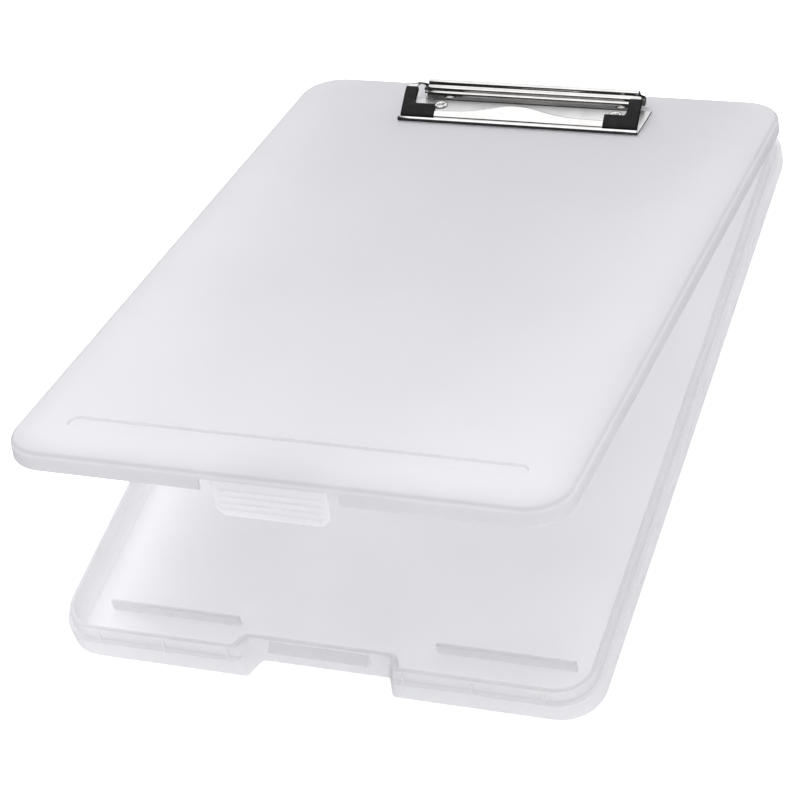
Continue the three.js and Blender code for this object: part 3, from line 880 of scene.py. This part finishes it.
def tab_section(x):
    """The tab's closed (y, z) section at x, with its corners and ridges."""
    away = TAB_HALF - abs(x)
    shrink = round_drop(away)
    chamfer = max(0.0, TAB_CHAMFER - away)
    ridge_share = min(1.0, max(0.0, (away - RIDGE_INSET) / RIDGE_FADE))
    hook_share = 1.0 if abs(x) <= CATCH["half"] - SIDE_GAP else 0.0
    bottom = TAB_BOTTOM + chamfer + shrink
    front = FRONT_Y + TAB_SET_BACK + shrink
    back = FRONT_Y + TAB_SET_BACK + TAB_THICK - shrink
    section = []
    for k in range(TAB_STEPS + 1):
        z = bottom + (TAB_TOP - bottom) * k / TAB_STEPS
        section.append((front + round_drop(z - bottom) - ridge_swell(z) * ridge_share, z))
    hook = [
        (-TAB_BACK_CHAMFER[0], TAB_TOP),
        (0, TAB_TOP - TAB_BACK_CHAMFER[1]),
        (0, HOOK_TOP + POINT_GAP),
        (HOOK_REACH - HOOK_ROUND, HOOK_TOP),
        (HOOK_REACH, HOOK_TOP - HOOK_ROUND),
        (HOOK_REACH, HOOK_Z),
        (HOOK_FOOT, bottom + HOOK_ROUND if chamfer == 0 else HOOK_Z - HOOK_RAMP),
        (0, bottom),
    ]
    for reach, z in hook:
        section.append((back + reach * hook_share, max(z, bottom)))
    return section


def make_latch_tab():
    bm = bmesh.new()
    stations = [TAB_HALF - TAB_ROUND * (1 - s) for s, c in quarter(4)][::-1]
    stations += TAB_STATIONS
    stations += [-x for x in stations[-2::-1]]
    rings = [[Vector((x, y, z)) for y, z in tab_section(x)] for x in stations]
    loft(bm, rings, start_cap=True, end_cap=True)
    piece = finish_mesh("latch_tongue", bm, OPENED, 40)
    # The tab takes the tray's lighter copy of the plastic as painted light.
    place_piece(piece, "latch_body", "case_plastic", TRAY_PLASTIC_PAINTED_LIGHTER, "latch_tab")


# -------------------------------------------------------------------- clip

SEAT = 0.15
SHEET = 0.8
BASE_MIDDLE = SEAT + SHEET / 2
BASE_TOP = SEAT + SHEET
BASE = {"half": 59.1, "back_half": 52.4, "back": 8, "wide": 17, "lip": 41.2, "lip_top": 2.45}
LIP_CURVE = [(-3, 0), (-1.0, 0), (-0.15, 0.35), (-0.1, 0.9)]
LIP_LEAN = 0.9
LIP_STEPS = 18
JAW = {"inner": 53.2, "outer": 57.6, "window": 35.2, "lip": 38.4}
NECK = {"outer": 54.9, "from": 22.0, "to": 26.5}
ROLL = {"reach": 1.25, "slope": 1.32, "round": 0.2}
BAR_SHARES = [0, 0.06, 0.12, 0.18, 0.24, 0.29, 0.34, 0.4, 0.48, 0.57, 0.66, 0.74, 0.82, 0.88, 0.94, 1]
TAB_BELL = {"rise": 3.4, "spread": 17, "centre": -2}
CURL = {"radius": 1.9, "start": -50, "sweep": 195, "steps": 18}
ARM_COLUMNS = 3
BAR_COLUMNS = 64


def smooth_line(points, count):
    """count + 1 points on a smooth curve through the (forward, height) points given."""
    spots = [Vector(p) for p in points]
    dense = []
    for i in range(len(spots) - 1):
        a = spots[max(i - 1, 0)]
        b, c = spots[i], spots[i + 1]
        d = spots[min(i + 2, len(spots) - 1)]
        for k in range(24):
            t = k / 24
            dense.append(0.5 * (
                2 * b + (c - a) * t + (2 * a - 5 * b + 4 * c - d) * t ** 2
                + (3 * b - a - 3 * c + d) * t ** 3
            ))
    dense.append(spots[-1])
    lengths = [0.0]
    for a, b in zip(dense, dense[1:]):
        lengths.append(lengths[-1] + (b - a).length)
    line = []
    spot = 0
    for k in range(count + 1):
        goal = lengths[-1] * k / count
        while spot < len(lengths) - 2 and lengths[spot + 1] < goal:
            spot += 1
        share = (goal - lengths[spot]) / max(lengths[spot + 1] - lengths[spot], 1e-9)
        line.append(dense[spot].lerp(dense[spot + 1], min(1.0, share)))
    return line


SHEET_SHARP = 40
EDGE_TURN = 50


def thicken(piece, thickness, edge, face):
    """Turns an open sheet into a pressed plate with rounded edges; the cut edges get a near-black nickel, a bare
    cut edge darkened further as painted shade.
    """
    piece.data.materials.append(face)
    piece.data.materials.append(CUT_EDGE_PAINTED_DARK)
    solid = piece.modifiers.new("plate", "SOLIDIFY")
    solid.material_offset_rim = 1
    solid.thickness = thickness * MM
    solid.offset = 0
    solid.use_even_offset = True
    bevel = piece.modifiers.new("edges", "BEVEL")
    bevel.width = edge * MM
    bevel.segments = 3
    bevel.limit_method = "ANGLE"
    bevel.angle_limit = math.radians(EDGE_TURN)
    settle(piece, SHEET_SHARP)


JAW_RISE = [
    (18.5, 9.4),
    (23.5, 11.3),
    (27, 11.1),
    (30.5, 8.9),
    (34.0, 6.0),
    (37.5, 3.0),
    (38.4, 1.9),
]


def jaw_line():
    """The jaw's arm from under the rod, round its curl, over the arch and down to the lip."""
    forward, up = -ROD_Y, ROD_Z
    curl = []
    for k in range(CURL["steps"] + 1):
        angle = math.radians(CURL["start"] - CURL["sweep"] * k / CURL["steps"])
        curl.append((forward + CURL["radius"] * math.cos(angle), up + CURL["radius"] * math.sin(angle)))
    rise = smooth_line([curl[-2], curl[-1]] + JAW_RISE, 60)
    start = Vector(curl[-1])
    return [Vector(p) for p in curl] + [p for p in rise if p.x > start.x + 0.2]


def height_on(line, forward):
    """The height of a line at a forward distance, on the stretch that runs forward."""
    for a, b in zip(line, line[1:]):
        if a.x <= forward <= b.x and b.x > a.x and b.y > 1:
            share = (forward - a.x) / (b.x - a.x)
            return a.y + (b.y - a.y) * share
    return line[-1].y


def window_front(x):
    bell = math.exp(-(((x - TAB_BELL["centre"]) / TAB_BELL["spread"]) ** 2))
    return JAW["window"] - TAB_BELL["rise"] * bell


def bar_column(bm, x, arch):
    """The front bar's points at x, from its rolled back edge to its lip."""
    start = window_front(x) if abs(x) < JAW["inner"] else JAW["window"]
    fade = min(1.0, max(0.0, (JAW["inner"] - abs(x)) / 2))
    column = []
    for share in BAR_SHARES:
        away = (JAW["lip"] - start) * share
        short = max(0.0, ROLL["reach"] - away)
        drop = fade * ROLL["slope"] * short ** 2 / (short + ROLL["round"])
        column.append(bm.verts.new((x, -start - away, height_on(arch, start + away) - drop)))
    return column


def arm_row(bm, p, columns, direction):
    """An arm's points across at one spot of the jaw's line, narrower towards the rod."""
    share = min(1.0, max(0.0, (p.x - NECK["from"]) / (NECK["to"] - NECK["from"])))
    width = NECK["outer"] + (JAW["outer"] - NECK["outer"]) * share ** 2 * (3 - 2 * share)
    narrow = (width - JAW["inner"]) / (JAW["outer"] - JAW["inner"])
    return [
        bm.verts.new((direction * (JAW["inner"] + (x - JAW["inner"]) * narrow), -p.x, p.y))
        for x in columns
    ]


def make_jaw():
    line = jaw_line()
    clear_of_rod = 20
    arch = [p for p in line if p.y > ROD_Z + CURL["radius"] * 0.9 or p.x > clear_of_rod]
    arms = [p for p in line if p.x < JAW["window"] - 0.2 or p.y < ROD_Z and p.x < clear_of_rod]
    bm = bmesh.new()
    inner, outer = JAW["inner"], JAW["outer"]
    columns = [inner + (outer - inner) * k / ARM_COLUMNS for k in range(ARM_COLUMNS + 1)]
    middle = [-inner + 2 * inner * k / BAR_COLUMNS for k in range(BAR_COLUMNS + 1)]
    xs = [-x for x in columns[:0:-1]] + middle + columns[1:]
    bar = [bar_column(bm, x, arch) for x in xs]
    for left, right in zip(bar, bar[1:]):
        for k in range(len(BAR_SHARES) - 1):
            bm.faces.new((left[k], right[k], right[k + 1], left[k + 1]))
    for direction in (-1, 1):
        rows = [arm_row(bm, p, columns, direction) for p in arms]
        picks = [i for x in columns for i, value in enumerate(xs) if abs(value - direction * x) < 1e-6]
        rows.append([bar[i][0] for i in picks])
        for low, high in zip(rows, rows[1:]):
            for k in range(ARM_COLUMNS):
                bm.faces.new((low[k], low[k + 1], high[k + 1], high[k]))
    piece = finish_mesh("jaw_plate", bm, CLIP)
    thicken(piece, SHEET, 0.22, NICKEL)
    place_piece(piece, "jaw_body", "nickel", NICKEL, "clip_jaw")


COVER_LINE = [
    (9.7, BASE_TOP + 0.3),
    (10.3, 4.6),
    (11.5, 7.9),
    (12.4, 8.35),
    (13.5, 8.0),
    (14.0, 6.5),
    (15.5, 5.75),
    (15.9, 4.3),
    (17.0, 3.8),
    (17.5, BASE_TOP + 0.3),
]
COVER_SHEET = 0.55


def make_cover():
    bm = bmesh.new()
    half = BASE["back_half"]
    line = smooth_line(COVER_LINE, 96)
    stations = [-half + 2 * half * k / 8 for k in range(9)]
    rows = [[Vector((x, -p.x, p.y)) for p in line] for x in stations]
    loft(bm, rows, closed=False)
    piece = finish_mesh("spring_cover", bm, CLIP)
    thicken(piece, COVER_SHEET, 0.14, NICKEL)
    place_piece(piece, "lid_body", "nickel", NICKEL, "clip_spring_cover")


def make_base_plate():
    """A flat sheet with a turned-up lip in front and a narrower back."""
    lip = [(BASE["lip"] + forward, BASE_MIDDLE + up) for forward, up in LIP_CURVE]
    lip = smooth_line(lip + [(BASE["lip"] - LIP_LEAN, BASE["lip_top"])], LIP_STEPS)
    line = [Vector((BASE["back"], BASE_MIDDLE)), Vector((BASE["wide"], BASE_MIDDLE))] + lip
    columns = [-BASE["half"], -BASE["back_half"], BASE["back_half"], BASE["half"]]
    bm = bmesh.new()
    grid = [[bm.verts.new((x, -p.x, p.y)) for x in columns] for p in line]
    for i, (low, high) in enumerate(zip(grid, grid[1:])):
        for k in range(3):
            if i > 0 or k == 1:
                bm.faces.new((low[k], low[k + 1], high[k + 1], high[k]))
    loose = [v for v in bm.verts if not v.link_faces]
    bmesh.ops.delete(bm, geom=loose, context="VERTS")
    piece = finish_mesh("clip_base", bm, CLIP)
    thicken(piece, SHEET, 0.2, BASE_NICKEL)
    place_piece(piece, "lid_body", "nickel", BASE_NICKEL, "clip_base_plate")


EAR = {"inner": 44, "sheet": 1.2, "radius": 2.2, "flare": 0.3, "soft": 0.15}


def make_ears():
    bm = bmesh.new()
    radius, flare = EAR["radius"], EAR["flare"]
    outline = arc(ROD_Y, ROD_Z, radius, 0, math.pi, 16)
    outline += [(ROD_Y - radius - flare, BASE_MIDDLE), (ROD_Y + radius + flare, BASE_MIDDLE)]
    for direction in (-1, 1):
        x0, x1 = mirrored(direction, EAR["inner"], EAR["inner"] + EAR["sheet"])
        along_x(bm, outline, x0, x1, EAR["soft"])
    piece = finish_mesh("rod_ears", bm, CLIP)
    place_piece(piece, "lid_body", "nickel", NICKEL)


def make_rod():
    bm = bmesh.new()
    reach = NECK["outer"] + 0.1
    profile = pin_profile(ROD_RADIUS, ROD_SOFT, 4, -reach, reach)
    turned(bm, profile, Vector((0, ROD_Y, ROD_Z)), "X", 32)
    piece = finish_mesh("hinge_rod", bm, CLIP)
    place_piece(piece, "lid_body", "spring_steel", STEEL, "clip_hinge_rod")


SPRING = {"coil": 1.75, "wire": 0.38, "turns": 5, "start": 46, "pitch": 1, "leg": 3}
SPRING_PER_TURN = 28
WIRE_SIDES = 10


def make_spring(word, direction):
    """A torsion spring: a coil round the rod with a leg along the base plate."""
    steps = SPRING["turns"] * SPRING_PER_TURN
    path = []
    for i in range(steps + 1):
        angle = -math.pi / 2 + 2 * math.pi * i / SPRING_PER_TURN
        path.append(Vector((
            direction * (SPRING["start"] + SPRING["pitch"] * i / SPRING_PER_TURN),
            ROD_Y + SPRING["coil"] * math.cos(angle),
            ROD_Z + SPRING["coil"] * math.sin(angle),
        )))
    path.insert(0, path[0] + Vector((0, -SPRING["leg"], 0)))
    bm = bmesh.new()
    rings = []
    for i, spot in enumerate(path):
        ahead = (path[min(i + 1, len(path) - 1)] - path[max(i - 1, 0)]).normalized()
        side = ahead.cross(Vector((1, 0, 0))).normalized()
        over = ahead.cross(side)
        rings.append([
            spot + SPRING["wire"] * (math.cos(a) * side + math.sin(a) * over)
            for a in (2 * math.pi * k / WIRE_SIDES for k in range(WIRE_SIDES))
        ])
    loft(bm, rings, start_cap=True, end_cap=True)
    piece = finish_mesh("coil_spring_" + word, bm, CLIP, 50)
    place_piece(piece, "lid_body", "spring_steel", STEEL, "torsion_spring_" + word)


RIVET = {"x": 43.4, "y": -24, "bore": 1, "shank": 1.7, "head": 3.3, "tail": 2.7, "crown": 0.78}
RIVET_FLARE = {"thick": 0.5, "soft": 0.15}
RIVET_SIDES = 40
WASHER = {"outer": 4.4, "sheet": 0.6, "soft": 0.12}
UNDERSIDE = -PLATE - SEAT


def make_rivet(word, direction):
    """A tubular rivet with a rolled head above the base plate and a flared tail below."""
    foot = BASE_TOP + SEAT
    tail = UNDERSIDE - WASHER["sheet"] - SEAT
    tip, soft = tail - RIVET_FLARE["thick"], RIVET_FLARE["soft"]
    bore, head = RIVET["bore"], RIVET["head"]
    profile = [
        (bore, tip),
        (RIVET["tail"] - soft, tip),
        (RIVET["tail"], tip + soft),
        (RIVET["tail"], tail),
        (RIVET["shank"], tail),
        (RIVET["shank"], foot),
        (head - 0.1, foot),
    ]
    middle = (head + bore + 0.3) / 2
    half = head - middle
    for k in range(1, 12):
        angle = math.pi * k / 12
        profile.append((middle + half * math.cos(angle), foot + RIVET["crown"] * math.sin(angle) ** 0.7))
    profile += [(bore + 0.1, foot + 0.25), (bore, foot), (bore, tip)]
    bm = bmesh.new()
    turned(bm, profile, Vector((direction * RIVET["x"], RIVET["y"], 0)), "Z", RIVET_SIDES)
    piece = finish_mesh("rolled_rivet_" + word, bm, CLIP, SHEET_SHARP)
    place_piece(piece, "lid_body", "nickel", NICKEL, "clip_rivet_" + word)


def make_washer(word, direction):
    inner, outer, soft = RIVET["shank"] + RUN_GAP, WASHER["outer"], WASHER["soft"]
    low, high = UNDERSIDE - WASHER["sheet"], UNDERSIDE
    profile = [
        (inner, low + soft),
        (inner + soft, low),
        (outer - soft, low),
        (outer, low + soft),
        (outer, high - soft),
        (outer - soft, high),
        (inner + soft, high),
        (inner, high - soft),
        (inner, low + soft),
    ]
    bm = bmesh.new()
    turned(bm, profile, Vector((direction * RIVET["x"], RIVET["y"], 0)), "Z", RIVET_SIDES)
    piece = finish_mesh("flat_washer_" + word, bm, CLIP, SHEET_SHARP)
    place_piece(piece, "lid_body", "spring_steel", STEEL, "rivet_washer_" + word)


def make_hinge_pin(word, direction):
    reach = MIDDLE_KNUCKLE / 2 + KNUCKLE
    x0, x1 = mirrored(direction, KNUCKLE_X - reach, KNUCKLE_X + reach)
    profile = pin_profile(PIN, PIN_SOFT, 3, x0, x1)
    bm = bmesh.new()
    turned(bm, profile, Vector((0, LID_HINGE.y, LID_HINGE.z)), "X", PIN_SIDES)
    piece = finish_mesh("steel_pin_" + word, bm)
    place_piece(piece, "tray_body", "spring_steel", STEEL, "hinge_pin_" + word)


CAP = {"outer": 58.4, "inner": 52.2, "end": 41.7, "back": 26.8, "arm": 34.4, "skin": 0.7, "round": 1.6}
CAP_VOXEL = 0.22
CAP_WINDOW = {"past": 6, "back": -5, "sharp": 0.1, "bottom": -4, "top": 20}


def cap_section():
    """The cap's closed (y, z) section, a skin's thickness round the jaw's sheet."""
    line = [p for p in jaw_line() if p.x >= CAP["back"] and p.y > 1]
    half = SHEET / 2 + CAP["skin"]
    outer, inner = [], []
    for i, p in enumerate(line):
        ahead = (line[min(i + 1, len(line) - 1)] - line[max(i - 1, 0)]).normalized()
        side = Vector((-ahead.y, ahead.x))
        outer.append(p + side * half)
        inner.append(p - side * half)
    tip = (line[-1] - line[-2]).normalized()
    end = line[-1] + tip * CAP["skin"]
    section = outer + [end + (edge[-1] - line[-1]) * 0.6 for edge in (outer, inner)] + inner[::-1]
    return [(-p.x, p.y) for p in section]


def cap_window():
    """The tool that cuts the cap to an angle, clear of the jaw's window."""
    inside, back, sharp = CAP["end"] - CAP_WINDOW["past"], CAP_WINDOW["back"], CAP_WINDOW["sharp"]
    outline = rounded([
        (inside, -CAP["arm"], sharp, 1),
        (CAP["inner"], -CAP["arm"], CAP["round"], 6),
        (CAP["inner"], back, sharp, 1),
        (inside, back, sharp, 1),
    ])
    bm = bmesh.new()
    ends = [at_height(outline, CAP_WINDOW["bottom"]), at_height(outline, CAP_WINDOW["top"])]
    loft(bm, ends, start_cap=True, end_cap=True)
    return finish_mesh("window", bm)


def make_rubber_corner(word, direction):
    """The moulded corner: an angle of rubber pressed over the jaw's front corner, with worn edges."""
    bm = bmesh.new()
    along_x(bm, cap_section(), CAP["end"], CAP["outer"])
    piece = finish_mesh("moulded_corner_" + word, bm)
    carve(piece, cap_window(), "DIFFERENCE")
    reseat(piece, CLIP, Matrix.Scale(direction, 4, (1, 0, 0)))
    if direction < 0:
        piece.data.flip_normals()
    grid = piece.modifiers.new("grid", "REMESH")
    grid.mode = "VOXEL"
    grid.voxel_size = CAP_VOXEL * MM
    soft = piece.modifiers.new("soft", "SMOOTH")
    soft.factor = 0.5
    soft.iterations = 20
    settle(piece, 80)
    place_piece(piece, "jaw_body", "black_rubber", RUBBER, "rubber_corner_" + word)


# ------------------------------------------------------------------- studio


SKY = {"dark": 0.03, "ceiling": 1.35, "back": 1.15}
CEILING_EDGE = (0.76, 0.87)
BACK_EDGE = (0.1, 0.6)
HORIZON = (-0.06, 0.06)
WHITE = (1, 1, 1, 1)
LIGHT_SIZE = 2.0
LIGHTS = {"top_light": ((-0.5, 0.9, 2.4), 38), "front_light": ((0.9, -2.4, 1.3), 22)}
FLOOR_GLOW = 0.56
BACKDROP_GLOW = 1
FLOOR_DROP = 0.0002
STAGE = {"radius": 6000, "height": 4000, "sides": 96}


def make_world():
    """The sky that the metal mirrors: dark, with a white ceiling and a white band at the back."""
    world = bpy.data.worlds.new("studio")
    world.use_nodes = True
    nodes, links = world.node_tree.nodes, world.node_tree.links
    background = nodes["Background"]
    direction = nodes.new("ShaderNodeTexCoord").outputs["Generated"]
    split = nodes.new("ShaderNodeSeparateXYZ")
    links.new(direction, split.inputs["Vector"])
    high, far = split.outputs["Z"], split.outputs["Y"]
    ceiling = smooth_step(nodes, links, high, CEILING_EDGE, (SKY["dark"], SKY["ceiling"]))
    back = smooth_step(nodes, links, far, BACK_EDGE, (0, SKY["back"]))
    horizon = smooth_step(nodes, links, high, HORIZON, (0, 1))
    band = combine(nodes, links, "MULTIPLY", back, horizon)
    brightest = combine(nodes, links, "MAXIMUM", ceiling, band)
    links.new(brightest, background.inputs["Strength"])
    background.inputs["Color"].default_value = WHITE
    bpy.context.scene.world = world


def soft_light(name, place, power):
    """A square soft box aimed at the case that metal doesn't mirror."""
    data = bpy.data.lights.new(name, "AREA")
    data.size = LIGHT_SIZE
    data.energy = power
    light = bpy.data.objects.new(name, data)
    light.location = place
    light.rotation_euler = (-Vector(place)).to_track_quat("-Z", "Y").to_euler()
    light.visible_glossy = False
    bpy.context.scene.collection.objects.link(light)


def stage_paint(name, glow):
    paint = Paint(name)
    paint.fix(Base_Color=(0.95, 0.95, 0.95, 1), Roughness=0.9)
    paint.fix(Emission_Color=WHITE, Emission_Strength=glow)
    return paint.material


def make_studio():
    """A white floor and, for the camera alone, a white wall round it."""
    bpy.context.scene.view_settings.view_transform = "Standard"
    make_world()
    for name, (place, power) in LIGHTS.items():
        soft_light(name, place, power)
    radius = STAGE["radius"]
    angles = [2 * math.pi * k / STAGE["sides"] for k in range(STAGE["sides"])]
    circle = [Vector((radius * math.cos(a), radius * math.sin(a), 0)) for a in angles]
    raised = [spot + Vector((0, 0, STAGE["height"])) for spot in circle]
    bm = bmesh.new()
    bm.faces.new([bm.verts.new(spot) for spot in circle])
    floor = finish_mesh("floor", bm)
    floor.location.z = -FLOOR_DROP
    floor.data.materials.append(stage_paint("floor_paint", FLOOR_GLOW))
    floor.visible_glossy = False
    bm = bmesh.new()
    loft(bm, [circle, raised])
    backdrop = finish_mesh("backdrop", bm)
    backdrop.data.materials.append(stage_paint("backdrop_paint", BACKDROP_GLOW))
    backdrop.visible_glossy = False
    backdrop.visible_diffuse = False
    backdrop.visible_transmission = False
    backdrop.visible_shadow = False


# -------------------------------------------------------------------- build

make_camera()
make_studio()
make_tray()
make_lid()
make_latch_tab()
make_jaw()
make_cover()
make_base_plate()
make_ears()
make_rod()
for word, direction in (("left", -1), ("right", 1)):
    make_spring(word, direction)
    make_rivet(word, direction)
    make_washer(word, direction)
    make_hinge_pin(word, direction)
    make_rubber_corner(word, direction)

slot_of = {row["node"]: row["material_slot"] for row in frame["record"]["subparts"]}
for node, piece in frame["nodes"].items():
    piece.data.materials.clear()
    piece.data.materials.append(SLOT_MATERIAL[slot_of[node]])
